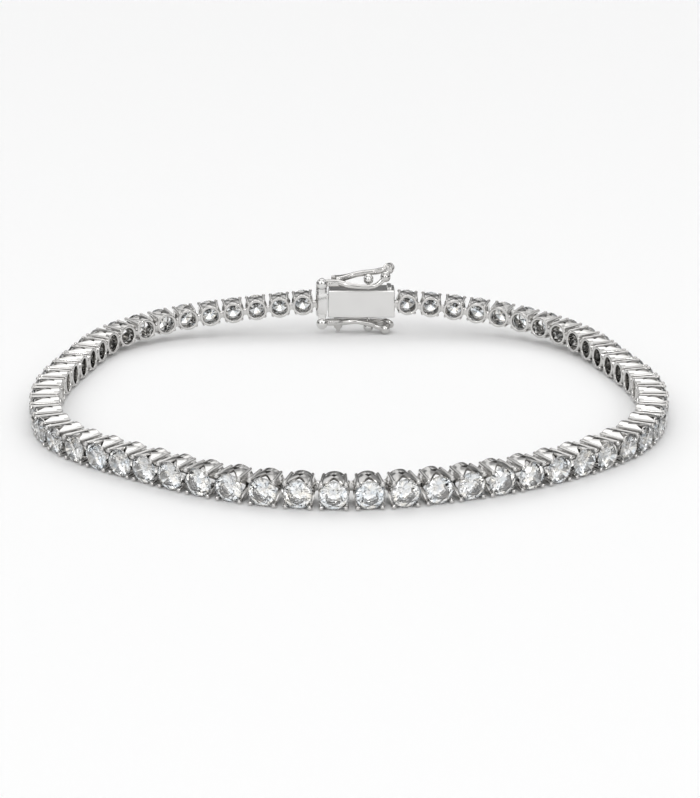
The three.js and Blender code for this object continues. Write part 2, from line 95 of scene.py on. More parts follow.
@dataclass(frozen=True)
class Sizes:
    """Sizes that more than one sub-assembly shares, in millimetres."""

    link_pitch: float = 2.76
    links_right: int = 30
    links_left: int = 31
    metal_gap: float = 0.3
    hinge_depth: float = 0.65
    ring_half_width: float = 1.25
    ring_half_height: float = 1.22
    ring_hole: float = 0.9
    ring_depth: float = 0.85
    girdle_depth: float = 2.53
    stone_diameter: float = 2.5
    box_length: float = 7.8
    box_height: float = 3.3
    box_depth: float = 3.0
    box_wall: float = 0.4
    cap_length: float = 1.25
    cap_height: float = 3.1
    cap_depth: float = 2.7
    pivot_depth: float = 0.85
    pivot_lift: float = 0.76
    pivot_shift: float = 0.1
    barrel_width: float = 0.64
    latch_depth: float = 1.25
    eye_half_width: float = 1.0
    catch_reach: float = 4.7
    end_ball_radius: float = 0.62
    end_ball_reach: float = 6.7
    end_ball_lift: float = 1.52
    end_ball_depth: float = 0.6

    @property
    def inner_face(self) -> float:
        """Depth of the inner face of the rings and of the clasp box."""
        return -self.hinge_depth

    @property
    def body_length(self) -> float:
        """Length of the end cap, the slit and the box together."""
        return self.cap_length + self.metal_gap + self.box_length

    @property
    def cap_start(self) -> float:
        """Left end of the end cap in the clasp's frame."""
        return -self.body_length / 2

    @property
    def box_start(self) -> float:
        """Open end of the box in the clasp's frame."""
        return self.cap_start + self.cap_length + self.metal_gap

    @property
    def axis_x(self) -> float:
        """Hinge axis of both latches along the band."""
        return self.cap_start + self.cap_length / 2 + self.pivot_shift

    @property
    def pivot_middle(self) -> float:
        """Middle of both hinges through the thickness of the band."""
        return self.inner_face + self.pivot_depth

    @property
    def latch_middle(self) -> float:
        """Middle plane of the latches' eyes through the thickness of the band."""
        return self.inner_face + self.latch_depth

    @property
    def box_edge(self) -> float:
        """Half the height of the box."""
        return self.box_height / 2

    @property
    def clasp_height(self) -> float:
        """Middle of the clasp above the floor."""
        return self.box_edge + self.end_ball_lift + self.end_ball_radius

    @property
    def clasp_span(self) -> float:
        """From the last hinge on one side of the clasp to the first on the other."""
        ring_to_hinge = self.link_pitch / 2 - self.ring_half_width
        return self.body_length + 2 * (self.metal_gap - ring_to_hinge)


@dataclass
class Shell:
    """Points and faces in millimetres, gathered until they become one Blender mesh."""

    points: list[Vector] = field(default_factory=list)
    faces: list[Face] = field(default_factory=list)
    smooth: list[bool] = field(default_factory=list)

    def add(self, points: Iterable[Point], faces: Iterable[Face], smooth: bool = True) -> "Shell":
        """Adds points with the faces between them.

        Args:
            points: The new points.
            faces: Faces as indices into the new points.
            smooth: Whether the faces are shaded as one curved surface.

        Returns:
            This shell.
        """
        start = len(self.points)
        self.points.extend(Vector(p) for p in points)
        for face in faces:
            self.faces.append(tuple(i + start for i in face))
            self.smooth.append(smooth)
        return self

    def merge(self, other: "Shell", place: Matrix | None = None) -> "Shell":
        """Adds another shell, moved by a matrix.

        Args:
            other: The shell to add.
            place: Where it goes, or None to leave it where it is.

        Returns:
            This shell.
        """
        start = len(self.points)
        self.points.extend((place @ p if place is not None else p.copy()) for p in other.points)
        self.faces.extend(tuple(i + start for i in face) for face in other.faces)
        self.smooth.extend(other.smooth)
        return self

    def turned_over(self) -> "Shell":
        """Returns the shell mirrored top to bottom, with its faces still outward."""
        made = Shell([Vector((p.x, p.y, -p.z)) for p in self.points])
        made.faces = [tuple(reversed(face)) for face in self.faces]
        made.smooth = list(self.smooth)
        return made

    def to_object(self, name: str, material: bpy.types.Material, place: Matrix) -> bpy.types.Object:
        """Makes the Blender object in metres.

        Args:
            name: The object's name.
            material: Its one material.
            place: The frame of these millimetres in the row frame.

        Returns:
            The new object, linked to the scene.
        """
        mesh = bpy.data.meshes.new(name)
        moved = [(place @ p) * MM for p in self.points]
        mesh.from_pydata([tuple(p) for p in moved], [], self.faces)
        mesh.update()
        mesh.set_sharp_from_angle(angle=math.radians(CREASE_ANGLE))
        mesh.polygons.foreach_set("use_smooth", self.smooth)
        mesh.validate()
        mesh.materials.append(material)
        made = bpy.data.objects.new(name, mesh)
        bpy.context.scene.collection.objects.link(made)
        return made


def circle(steps: int) -> list[tuple[float, float]]:
    """Returns the cosine and the sine of every step of a full turn."""
    angles = [2 * math.pi * k / steps for k in range(steps)]
    return [(math.cos(angle), math.sin(angle)) for angle in angles]


def squared(value: float, power: float) -> float:
    """Returns a cosine or sine pushed outward by a power under 1, which squares a round ring."""
    return math.copysign(abs(value) ** power, value)


def stitched(count: int, rings: int, closed: bool = False) -> list[Face]:
    """Quads between rings of points that follow one another.

    Args:
        count: Points in each ring.
        rings: How many rings there are.
        closed: Whether the last ring joins the first.

    Returns:
        The faces.
    """
    faces: list[Face] = []
    for r in range(rings if closed else rings - 1):
        here, there = r * count, ((r + 1) % rings) * count
        for i in range(count):
            j = (i + 1) % count
            faces.append((here + i, here + j, there + j, there + i))
    return faces


def loft(sections: Sequence[Sequence[Point]], smooth: bool = True) -> Shell:
    """A closed skin over sections with the same number of points, flat at both ends.

    Args:
        sections: The sections in order, each a closed ring of points.
        smooth: Whether the sides are shaded as one curved surface.

    Returns:
        The shell.
    """
    count = len(sections[0])
    points = [p for section in sections for p in section]
    shell = Shell().add(points, stitched(count, len(sections)), smooth)
    last = (len(sections) - 1) * count
    shell.faces.append(tuple(reversed(range(count))))
    shell.faces.append(tuple(range(last, last + count)))
    shell.smooth.extend([False, False])
    return shell


def revolve(profile: Sequence[tuple[float, float]], segments: int) -> Shell:
    """A closed profile of radius and depth turned round the Y axis into a ring.

    Args:
        profile: Radius and depth of each corner of the section.
        segments: Steps round the axis.

    Returns:
        The shell.
    """
    points = [(radius * c, depth, radius * s)
              for c, s in circle(segments) for radius, depth in profile]
    return Shell().add(points, stitched(len(profile), segments, closed=True))


def ball(centre: Point, radius: float, across: int = 24, squash: float = 1.0) -> Shell:
    """A polished bead whose poles lie along Y.

    Args:
        centre: Its middle.
        radius: Its radius.
        across: Steps round it.
        squash: Its depth along Y as a share of its width.

    Returns:
        The shell.
    """
    middle = Vector(centre)
    rows = across // 2
    points: list[Point] = [middle + Vector((0, -radius * squash, 0))]
    for row in range(1, rows):
        polar = math.pi * row / rows
        flat, rise = radius * math.sin(polar), -radius * squash * math.cos(polar)
        points.extend(middle + Vector((flat * c, rise, flat * s)) for c, s in circle(across))
    points.append(middle + Vector((0, radius * squash, 0)))
    faces: list[Face] = [(0, 1 + s, 1 + (s + 1) % across) for s in range(across)]
    for row in range(rows - 2):
        here, there = 1 + row * across, 1 + (row + 1) * across
        for s in range(across):
            t = (s + 1) % across
            faces.append((here + s, there + s, there + t, here + t))
    last, start = len(points) - 1, 1 + (rows - 2) * across
    faces.extend((last, start + (s + 1) % across, start + s) for s in range(across))
    return Shell().add(points, faces)


def smoothed_path(points: Sequence[Point], steps: int) -> list[Vector]:
    """Points evenly spaced in parameter along a Catmull-Rom curve.

    Args:
        points: The points it goes through.
        steps: How many steps to cut it into.

    Returns:
        The points of the curve, one more than the steps.
    """
    through = [Vector(p) for p in points]
    path = []
    for k in range(steps + 1):
        at = k / steps * (len(through) - 1)
        i = min(int(at), len(through) - 2)
        t = at - i
        b, c = through[i], through[i + 1]
        a = through[i - 1] if i > 0 else 2 * b - c
        d = through[i + 2] if i + 2 < len(through) else 2 * c - b
        path.append(0.5 * (2 * b + (c - a) * t + (2 * a - 5 * b + 4 * c - d) * t**2
                           + (3 * b - a - 3 * c + d) * t**3))
    return path


def tube(points: Sequence[Point], radii: Sequence[float], steps: int, sides: int) -> Shell:
    """A round wire bent through points, with domed ends.

    Args:
        points: The points that its middle goes through.
        radii: Radii spread evenly from its start to its end.
        steps: Steps along it.
        sides: Points round it.

    Returns:
        The shell.
    """
    path = smoothed_path(points, steps)
    shares = np.linspace(0, 1, len(radii))
    last = len(path) - 1
    stations = [(0, -beyond, share) for beyond, share in DOME]
    stations += [(k, 0.0, 1.0) for k in range(len(path))]
    stations += [(last, beyond, share) for beyond, share in reversed(DOME)]
    side = Vector((0, 1, 0))
    sections = []
    for k, beyond, share in stations:
        ahead = (path[min(k + 1, last)] - path[max(k - 1, 0)]).normalized()
        side = (side - ahead * side.dot(ahead)).normalized()
        rise = ahead.cross(side)
        radius = float(np.interp(k / last, shares, radii))
        centre = path[k] + ahead * beyond * radius
        sections.append([centre + (side * c + rise * s) * radius * share for c, s in circle(sides)])
    return loft(sections)


def rod(start: Point, end: Point, radius: float, sides: int = 20, edge: float = 0.05) -> Shell:
    """A straight round bar with softened rims.

    Args:
        start: Middle of one end.
        end: Middle of the other end.
        radius: Its radius.
        sides: Points round it.
        edge: How far the rims are rounded.

    Returns:
        The shell.
    """
    a, b = Vector(start), Vector(end)
    ahead = (b - a).normalized()
    side = ahead.orthogonal().normalized()
    rise = ahead.cross(side)
    length = (b - a).length
    soft = edge * RIM_SHARE
    rim = [(0.0, radius - edge), (soft, radius - soft), (edge, radius)]
    stations = rim + [(length - along, r) for along, r in reversed(rim)]
    return loft([[a + ahead * along + (side * c + rise * s) * r for c, s in circle(sides)]
                 for along, r in stations])


def rounded_block(low: Point, high: Point, edge: float) -> bmesh.types.BMesh:
    """A block with rounded edges.

    Args:
        low: Its lowest corner.
        high: Its highest corner.
        edge: Radius of its edges.

    Returns:
        The block as an open bmesh, which the caller frees.
    """
    a, b = Vector(low), Vector(high)
    made = bmesh.new()
    bmesh.ops.create_cube(made, size=1.0)
    for vert in made.verts:
        vert.co = Vector([a[i] + (vert.co[i] + 0.5) * (b[i] - a[i]) for i in range(3)])
    bmesh.ops.bevel(made, geom=list(made.edges), offset=edge, segments=EDGE_STEPS, profile=0.5,
                    affect="EDGES")
    return made


def squared_ring(centre: Vector, half_width: float, half_height: float, count: int) -> list[Vector]:
    """A rounded rectangle across the band, facing along X.

    Args:
        centre: Its middle.
        half_width: Half its width through the thickness of the band.
        half_height: Half its height.
        count: Points round it.

    Returns:
        The points.
    """
    return [centre + Vector((0, half_width * squared(c, 0.5), half_height * squared(s, 0.5)))
            for c, s in circle(count)]


def from_bmesh(source: bmesh.types.BMesh, smooth_below: float) -> Shell:
    """Takes a bmesh over into a shell and frees it.

    Args:
        source: The bmesh.
        smooth_below: Faces smaller than this area in square millimetres are shaded smooth.

    Returns:
        The shell.
    """
    source.verts.ensure_lookup_table()
    source.verts.index_update()
    shell = Shell([v.co.copy() for v in source.verts])
    for face in source.faces:
        shell.faces.append(tuple(v.index for v in face.verts))
        shell.smooth.append(face.calc_area() < smooth_below)
    source.free()
    return shell


class Signal:
    """One output socket, so that shader maths reads as an expression."""

    def __init__(self, paint: "Paint", socket: bpy.types.NodeSocket) -> None:
        """Wraps a socket.

        Args:
            paint: The material under construction.
            socket: The output socket that carries the value.
        """
        self.paint = paint
        self.socket = socket

    def _maths(self, operation: str, first: Any, second: Any) -> "Signal":
        """Adds one Math node and returns its result."""
        return self.paint.node("ShaderNodeMath", {"operation": operation}, {0: first, 1: second})

    def __add__(self, other: "Signal | float") -> "Signal":
        """Returns self plus other."""
        return self._maths("ADD", self, other)

    __radd__ = __add__

    def __sub__(self, other: "Signal | float") -> "Signal":
        """Returns self minus other."""
        return self._maths("SUBTRACT", self, other)

    def __rsub__(self, other: float) -> "Signal":
        """Returns other minus self."""
        return self._maths("SUBTRACT", other, self)

    def __mul__(self, other: "Signal | float") -> "Signal":
        """Returns self times other."""
        return self._maths("MULTIPLY", self, other)

    __rmul__ = __mul__


class Paint:
    """Builds one node tree: a material's, or the world's."""

    def __init__(self, tree: bpy.types.NodeTree) -> None:
        """Empties the tree that it will fill.

        Args:
            tree: The node tree.
        """
        self.tree = tree
        tree.nodes.clear()

    def node(self, kind: str, settings: dict[str, Any] | None = None,
             sockets: dict[int | str, Any] | None = None, output: int | str = 0) -> Signal:
        """Adds a node, sets it up and links it.

        Args:
            kind: The node's type.
            settings: Its settings, set first; stops is the list of a ramp's position and colour.
            sockets: Values or signals for its input sockets.
            output: Which output to return.

        Returns:
            The chosen output.
        """
        made = self.tree.nodes.new(kind)
        for key, value in (settings or {}).items():
            if key == "stops":
                self._fill_ramp(made.color_ramp, value)
            else:
                setattr(made, key, value)
        for key, value in (sockets or {}).items():
            if isinstance(value, Signal):
                self.tree.links.new(value.socket, made.inputs[key])
            else:
                made.inputs[key].default_value = value
        return Signal(self, made.outputs[output] if len(made.outputs) else None)

    @staticmethod
    def _fill_ramp(ramp: bpy.types.ColorRamp, stops: Sequence[tuple[float, tuple]]) -> None:
        """Gives a ramp its stops."""
        while len(ramp.elements) < len(stops):
            ramp.elements.new(1.0)
        for element, (position, colour) in zip(ramp.elements, stops):
            element.position = position
            element.color = colour if len(colour) == 4 else (*colour, 1.0)

    def place(self) -> Signal:
        """Returns the coordinates of the surface in the object's own frame."""
        return self.node("ShaderNodeTexCoord", output="Object")

    def grain(self, scale: float, detail: float, stretch: Point = (1, 1, 1)) -> Signal:
        """A soft random pattern.

        Args:
            scale: Its fineness, in waves per metre.
            detail: How much fine detail it carries.
            stretch: Its fineness along X, Y and Z as shares of the scale.

        Returns:
            A value from 0 to 1.
        """
        where = self.node("ShaderNodeVectorMath", {"operation": "MULTIPLY"},
                          {0: self.place(), 1: tuple(stretch)})
        return self.node("ShaderNodeTexNoise", {"noise_dimensions": "3D"},
                         {"Vector": where, "Scale": scale, "Detail": detail})

    def blend(self, share: Signal, first: tuple, second: tuple) -> Signal:
        """Mixes two colours by a share."""
        return self.node("ShaderNodeMix", {"data_type": "RGBA"},
                         {0: share, 6: (*first, 1.0), 7: (*second, 1.0)}, output=2)


def new_material(name: str) -> tuple[bpy.types.Material, Paint]:
    """Makes a material with an empty node tree and returns it with its paint."""
    material = bpy.data.materials.new(name)
    material.use_nodes = True
    return material, Paint(material.node_tree)


@dataclass(frozen=True)
class PolishedGold:
    """Polished white gold with faint wear."""

    name: str
    bright: Colour = (0.68, 0.672, 0.66)
    worn: Colour = (0.58, 0.57, 0.556)
    smooth: float = 0.06
    rough: float = 0.16
    wear_scale: float = 420.0
    wear_detail: float = 4.0
    wear_gain: float = 2.2
    scratch_scale: float = 5200.0
    scratch_detail: float = 2.0
    scratch_stretch: Point = (0.25, 1.0, 1.6)
    scratch_height: float = 0.0000022
    bump_strength: float = 0.35

    def make(self) -> bpy.types.Material:
        """Returns the finished material."""
        material, paint = new_material(self.name)
        wear = paint.grain(self.wear_scale, self.wear_detail)
        scratch = paint.grain(self.scratch_scale, self.scratch_detail, self.scratch_stretch)
        roughness = wear * scratch * (self.rough - self.smooth) * self.wear_gain + self.smooth
        bump = paint.node("ShaderNodeBump", None, {
            "Strength": self.bump_strength,
            "Distance": self.scratch_height,
            "Height": scratch,
        })
        shader = paint.node("ShaderNodeBsdfPrincipled", None, {
            "Base Color": paint.blend(wear, self.bright, self.worn),
            "Metallic": 1.0,
            "Roughness": roughness,
            "Normal": bump,
        })
        paint.node("ShaderNodeOutputMaterial", None, {"Surface": shader})
        return material


@dataclass(frozen=True)
class ClearStone:
    """Colourless brilliant cut stone whose pale blue and warm tints are painted light, standing in
    for dispersed colour.
    """

    name: str
    index: float = 2.42
    painted_fire_scale: float = 1600.0
    painted_fire_detail: float = 1.0
    painted_fire_hues: tuple[tuple[float, Colour], ...] = (
        (0.32, (0.80, 0.90, 1.0)),
        (0.44, (0.97, 0.99, 1.0)),
        (0.55, (1.0, 1.0, 1.0)),
        (0.64, (1.0, 0.96, 0.84)),
        (0.74, (1.0, 0.93, 0.90)),
    )

    def make(self) -> bpy.types.Material:
        """Returns the finished material."""
        material, paint = new_material(self.name)
        # Painted light: noise picks pale blue and warm tints that stand in for the stone's coloured
        # flashes.
        painted_fire = paint.grain(self.painted_fire_scale, self.painted_fire_detail)
        tint = paint.node("ShaderNodeValToRGB", {"stops": self.painted_fire_hues}, {0: painted_fire})
        shader = paint.node("ShaderNodeBsdfPrincipled", None, {
            "Base Color": tint,
            "Roughness": 0.0,
            "IOR": self.index,
            "Transmission Weight": 1.0,
        })
        paint.node("ShaderNodeOutputMaterial", None, {"Surface": shader})
        return material


@dataclass(frozen=True)
class PaleFloor:
    """Plain matt floor, almost white."""

    name: str
    tone: Colour = (0.98, 0.98, 0.98)

    def make(self) -> bpy.types.Material:
        """Returns the finished material."""
        material, paint = new_material(self.name)
        shader = paint.node("ShaderNodeBsdfDiffuse", None, {"Color": (*self.tone, 1.0)})
        paint.node("ShaderNodeOutputMaterial", None, {"Surface": shader})
        return material


@dataclass
class Route:
    """Finds where every link of the closed line stands."""

    sizes: Sizes
    rise_links: float = 11.5
    rise_power: float = 1.2
    fineness: int = 6000
    rounds: int = 40
    narrowest: float = 0.6
    widest: float = 1.6
    slack: float = 0.002
    points: tuple[tuple[float, float], ...] = (
        (3.77, -0.04), (6.62, -0.8), (8.78, -2.75), (9.84, -5.54), (10.38, -9.53), (9.18, -13.41),
        (6.26, -16.05), (2.61, -17.7), (-0.33, -18.23), (-3.26, -17.78), (-6.77, -15.91),
        (-9.77, -13.35), (-10.89, -9.53), (-10.6, -5.54), (-9.77, -2.68), (-7.5, -0.83),
        (-4.64, -0.18),
    )

    def curve(self, spread: float) -> np.ndarray:
        """The centripetal curve through the chosen points.

        Args:
            spread: Scale of the chosen points.

        Returns:
            Dense points, one row each.
        """
        half = self.sizes.clasp_span / 2
        through = [np.array([half, 0.0])]
        through += [np.array(p) * spread * self.sizes.link_pitch for p in self.points]
        through.append(np.array([-half, 0.0]))
        t = np.arange(self.fineness + 1) / self.fineness * (len(through) - 1)
        which = np.minimum(t.astype(int), len(through) - 2)
        rows = np.zeros((self.fineness + 1, 2))
        for i in range(len(through) - 1):
            mask = which == i
            w = (t[mask] - i)[:, None]
            b, c = through[i], through[i + 1]
            a = through[i - 1] if i > 0 else 2 * b - c
            d = through[i + 2] if i + 2 < len(through) else 2 * c - b
            da, db, dc = (float(np.sum((q - p) ** 2)) ** 0.25 for p, q in ((a, b), (b, c), (c, d)))
            out = ((b - a) / da - (c - a) / (da + db) + (c - b) / db) * db
            into = ((c - b) / db - (d - b) / (db + dc) + (d - c) / dc) * db
            rows[mask] = (b + out * w + (-3 * b + 3 * c - 2 * out - into) * w**2
                          + (2 * b - 2 * c + out + into) * w**3)
        return rows

    def heights(self) -> list[float]:
        """Height of every hinge above the floor."""
        s = self.sizes
        count = s.links_right + s.links_left
        made = []
        for i in range(count + 1):
            share = max(0.0, 1 - min(i, count - i) / self.rise_links)
            made.append(s.ring_half_height
                        + (s.clasp_height - s.ring_half_height) * share**self.rise_power)
        return made

    def step_along(self, line: np.ndarray, heights: Sequence[float]) -> tuple[list[Vector], float]:
        """Steps along a line so that each step is one link long in space.

        Args:
            line: Dense points of the line seen from above.
            heights: Height of each hinge.

        Returns:
            The hinges, and the length left over, which is negative when the links don't fit.
        """
        hinges = [Vector((*line[0], heights[0]))]
        at, last = 0, len(line) - 1
        for step in range(1, len(heights)):
            start = hinges[-1]
            climb = heights[step] - heights[step - 1]
            reach = math.sqrt(self.sizes.link_pitch**2 - climb**2)
            spans = np.hypot(line[at:, 0] - start.x, line[at:, 1] - start.y)
            beyond = np.nonzero(spans[1:] >= reach)[0]
            at = at + int(beyond[0]) if len(beyond) else last
            ahead = min(at + 1, last)
            near = math.hypot(line[at][0] - start.x, line[at][1] - start.y)
            far = math.hypot(line[ahead][0] - start.x, line[ahead][1] - start.y)
            share = min((reach - near) / (far - near), 1.0) if far > near else 1.0
            spot = line[at] + (line[ahead] - line[at]) * share
            hinges.append(Vector((*spot, heights[step])))
            if at >= last:
                return hinges, -float(len(heights) - step)
        return hinges, math.hypot(line[-1][0] - hinges[-1].x, line[-1][1] - hinges[-1].y)

    def frames(self) -> list[Matrix]:
        """Frame of every link: X along the line, Y outward and Z up."""
        narrow, wide = self.narrowest, self.widest
        heights = self.heights()
        hinges: list[Vector] = []
        for _ in range(self.rounds):
            spread = (narrow + wide) / 2
            hinges, spare = self.step_along(self.curve(spread), heights)
            if spare > self.slack:
                wide = spread
            else:
                narrow = spread
        made = []
        for here, there in zip(hinges, hinges[1:]):
            along = (there - here).normalized()
            outward = Vector((0, 0, 1)).cross(along).normalized()
            turn = Matrix((along, outward, along.cross(outward))).transposed().to_4x4()
            made.append(Matrix.Translation((here + there) / 2) @ turn)
        return made


@dataclass
class Brilliant:
    """A round brilliant cut stone in a link's frame, its table facing outward."""

    sizes: Sizes
    spread: float = 1.04
    table_share: float = 0.56
    crown: float = 0.38
    girdle: float = 0.06
    pavilion: float = 1.07
    star_share: float = 0.5
    lower_share: float = 0.78

    def shell(self, turn: float) -> Shell:
        """Builds the stone's facets.

        Args:
            turn: Angle that the stone is turned by in its setting, in radians.

        Returns:
            The closed stone.
        """
        radius = self.sizes.stone_diameter / 2 * self.spread
        table = radius * self.table_share
        middle = self.sizes.inner_face + self.sizes.girdle_depth
        eighth = math.pi / 4
        half = eighth / 2
        flat = table * math.cos(half)
        star = flat + (radius - flat) * self.star_share
        crown_slope = self.crown / (radius - table)
        star_rise = self.crown - (star * math.cos(half) - table) * crown_slope
        low = radius * (1 - self.lower_share)
        low_drop = -self.pavilion + low * math.cos(half) * (self.pavilion / radius)

        def spot(r: float, angle: float, rise: float) -> Vector:
            """Returns a corner from its radius, its angle and its rise above the girdle."""
            return Vector((r * math.cos(angle + turn), middle + rise, r * math.sin(angle + turn)))

        edge = self.girdle / 2
        points = [spot(table, k * eighth, self.crown) for k in range(8)]
        points += [spot(star, k * eighth + half, star_rise) for k in range(8)]
        points += [spot(radius, j * half, edge) for j in range(16)]
        points += [spot(radius, j * half, -edge) for j in range(16)]
        points += [spot(low, k * eighth + half, low_drop) for k in range(8)]
        points.append(spot(0, 0, -self.pavilion))
        stars, upper, lower, tips, culet = 8, 16, 32, 48, 56
        faces: list[Face] = [tuple(reversed(range(8)))]
        for k in range(8):
            n, b = (k + 1) % 8, (k - 1) % 8
            g, m, after = 2 * k, 2 * k + 1, (2 * k + 2) % 16
            faces.append((k, n, stars + k))
            faces.append((k, stars + k, upper + g, stars + b))
            faces.append((stars + k, upper + m, upper + g))
            faces.append((stars + k, upper + after, upper + m))
            faces.append((upper + g, upper + m, lower + m, lower + g))
            faces.append((upper + m, upper + after, lower + after, lower + m))
            faces.append((lower + g, lower + m, tips + k))
            faces.append((lower + m, lower + after, tips + k))
            faces.append((culet, tips + b, lower + g, tips + k))
        return Shell().add(points, faces, smooth=False)


@dataclass
class Setting:
    """One four prong setting with its inner ring, in a link's frame."""

    sizes: Sizes
    ring_segments: int = 40
    petal_steps: int = 10
    wall: float = 0.22
    window_half_angle: float = 15.0
    notch_half_angle: float = 32.0
    window_height: float = 0.56
    bridge: float = 0.08
    # The near black sheets behind the windows, which paint shade inside each setting:
    shade_sheet_half_angle: float = 20.0
    shade_sheet_steps: int = 6
    shade_sheet_thickness: float = 0.05
    shade_sheet_overlap: float = 0.04
    shade_sheet_sunk: float = 0.1
    shade_sheet_rise: float = 0.15
    seat_drop: float = 0.1
    seat_radius: float = 1.14
    seat_hole: float = 0.95
    seat_height: float = 0.16
    widen: float = 1.1
    corner_swell: float = 0.12
    prong_root: float = 1.27
    prong_radius: float = 0.185
    bead_radius: float = 0.225
    bead_across: float = 1.02
    bead_up: float = 1.01
    bead_rise: float = 0.16
    bead_squash: float = 0.9
    prong_bend: float = 0.45
    prong_rise: float = 0.1
    prong_sunk: float = 0.14

    def ring(self) -> Shell:
        """Returns the polished inner ring with softened edges."""
        s = self.sizes
        hole, outer, back = s.ring_hole, s.ring_half_height + 0.01, s.inner_face
        front = back + s.ring_depth
        # Each soft edge is a row of steps: into the metal, and up from the inner face.
        inner_edge = ((0.0, 0.14), (0.02, 0.06), (0.06, 0.01), (0.1, 0.0))
        outer_edge = ((0.09, 0.0), (0.04, 0.02), (0.01, 0.06), (0.0, 0.12))
        profile = [(hole, front)]
        profile += [(hole + into, back + up) for into, up in inner_edge]
        profile += [(outer - into, back + up) for into, up in outer_edge]
        profile.append((outer, front))
        return revolve(profile, self.ring_segments)

    def petals(self) -> Shell:
        """Returns the four shoulders that square off from the ring to the seat of the stone."""
        front = self.sizes.inner_face + self.sizes.ring_depth
        edge = self.sizes.inner_face + self.sizes.girdle_depth
        tip = front + self.window_height
        notch, top = tip + self.bridge, edge - self.seat_drop
        window, wide_notch = self.window_half_angle, self.notch_half_angle
        # Depth, opening in degrees, radius, squareness and share of the widening.
        levels = [(front - 0.3, window, 1.21, 0.3, 0.0), (front - 0.02, window, 1.22, 0.7, 0.2),
                  (front + 0.5 * self.window_height, 0.5 * window, 1.225, 1.0, 0.4),
                  (tip, 0.0, 1.23, 1.0, 0.6), (notch, 0.0, 1.23, 1.0, 0.65),
                  (notch + 0.35 * (top - notch), 0.45 * wide_notch, 1.23, 1.0, 0.8),
                  (top, wide_notch, 1.21, 0.9, 1.0)]
        shell = Shell()
        steps = self.petal_steps
        for quarter in range(4):
            middle = math.radians(45 + 90 * quarter)
            sections = []
            for depth, opening, radius, square, wide in levels:
                across = 1 + (self.widen - 1) * wide
                half = math.radians(45 - opening)
                angles = [middle + half * (2 * k / steps - 1) for k in range(steps + 1)]
                outer = [radius * (1 + self.corner_swell * square * math.sin(2 * a) ** 4)
                         for a in angles]
                inner = [(r - self.wall, a) for r, a in zip(outer, angles)]
                sections.append([(r * math.cos(a) * across, depth, r * math.sin(a))
                                 for r, a in [*zip(outer, angles), *reversed(inner)]])
            shell.merge(loft(sections))
        return shell

    def seat(self) -> Shell:
        """Returns the ring under the stone's widest edge."""
        r = self.seat_radius
        top = self.sizes.inner_face + self.sizes.girdle_depth - self.seat_drop
        foot = top - self.seat_height
        profile = [(self.seat_hole, foot), (r - 0.04, foot), (r, foot + 0.04), (r, top - 0.05),
                   (r - 0.04, top), (self.seat_hole + 0.05, top - 0.08)]
        return revolve(profile, self.ring_segments)

    def shade_sheet(self) -> Shell:
        """Returns the near black sheets behind the windows: painted shade standing in for the shadow
        inside each setting.
        """
        s = self.sizes
        foot = s.inner_face + s.ring_depth - self.shade_sheet_sunk
        top = foot + self.window_height + self.shade_sheet_rise
        r, steps = s.ring_half_height - self.wall + self.shade_sheet_overlap, self.shade_sheet_steps
        thin = r - self.shade_sheet_thickness
        corners = ((thin, foot), (r, foot), (r, top), (thin, top))
        shell = Shell()
        # Painted shade: a thin near black sheet just inside each window, top and bottom.
        for middle in (90, 270):
            sections = []
            for k in range(steps + 1):
                a = math.radians(middle + self.shade_sheet_half_angle * (2 * k / steps - 1))
                sections.append([(radius * math.cos(a), depth, radius * math.sin(a))
                                 for radius, depth in corners])
            shell.merge(loft(sections, smooth=False))
        return shell

    def prongs(self) -> Shell:
        """Returns the four prongs, each running from the ring to a bead over the stone's edge."""
        shell = Shell()
        s = self.sizes
        edge = s.inner_face + s.girdle_depth
        root = self.prong_root * math.sqrt(0.5)
        r = self.prong_radius
        for across, up in ((1, 1), (-1, 1), (-1, -1), (1, -1)):
            end = (self.bead_across * across, edge + self.prong_rise, self.bead_up * up)
            start = (root * across, s.inner_face + self.prong_sunk, root * up)
            near = [start[i] + (end[i] - start[i]) * self.prong_bend for i in range(3)]
            bead = (end[0], edge + self.bead_rise, end[2])
            shell.merge(tube([start, near, end], [r * 0.9, r, r], 8, 14))
            shell.merge(ball(bead, self.bead_radius, 18, self.bead_squash))
        return shell

    def shell(self) -> Shell:
        """Returns the whole setting."""
        made = Shell()
        for part in (self.ring(), self.petals(), self.seat(), self.prongs()):
            made.merge(part)
        return made


@dataclass
class Neck:
    """The flat bar between two rings, or between a ring and the clasp."""

    reach: float = 1.06
    half_height: float = 0.4
    height_flare: float = 0.26
    back: float = -0.58
    back_flare: float = 0.03
    front: float = -0.06
    flare_power: float = 2.2
    corner: float = 0.6
    steps: int = 8
    sides: int = 16

    def shell(self, start: Matrix | Vector, end: Matrix | Vector) -> Shell:
        """Builds the bar between two places.

        Args:
            start: Frame of the link before it, or a point of the clasp.
            end: Frame of the link after it, or a point of the clasp.

        Returns:
            The shell in the line's own frame.
        """
        a = start @ Vector((self.reach, 0, 0)) if isinstance(start, Matrix) else start
        b = end @ Vector((-self.reach, 0, 0)) if isinstance(end, Matrix) else end
        guide = start if isinstance(start, Matrix) else end
        along = (b - a).normalized()
        outward = guide.to_3x3() @ Vector((0, 1, 0))
        outward = (outward - along * outward.dot(along)).normalized()
        rise = along.cross(outward)
        sections = []
        for k in range(self.steps + 1):
            t = k / self.steps
            flare = abs(2 * t - 1) ** self.flare_power
            half = self.half_height + self.height_flare * flare
            back = self.back - self.back_flare * flare
            middle, thick = (back + self.front) / 2, (self.front - back) / 2
            centre = a.lerp(b, t)
            sections.append([centre + outward * (middle + thick * squared(c, self.corner))
                             + rise * half * squared(s, self.corner) for c, s in circle(self.sides)])
        return loft(sections)


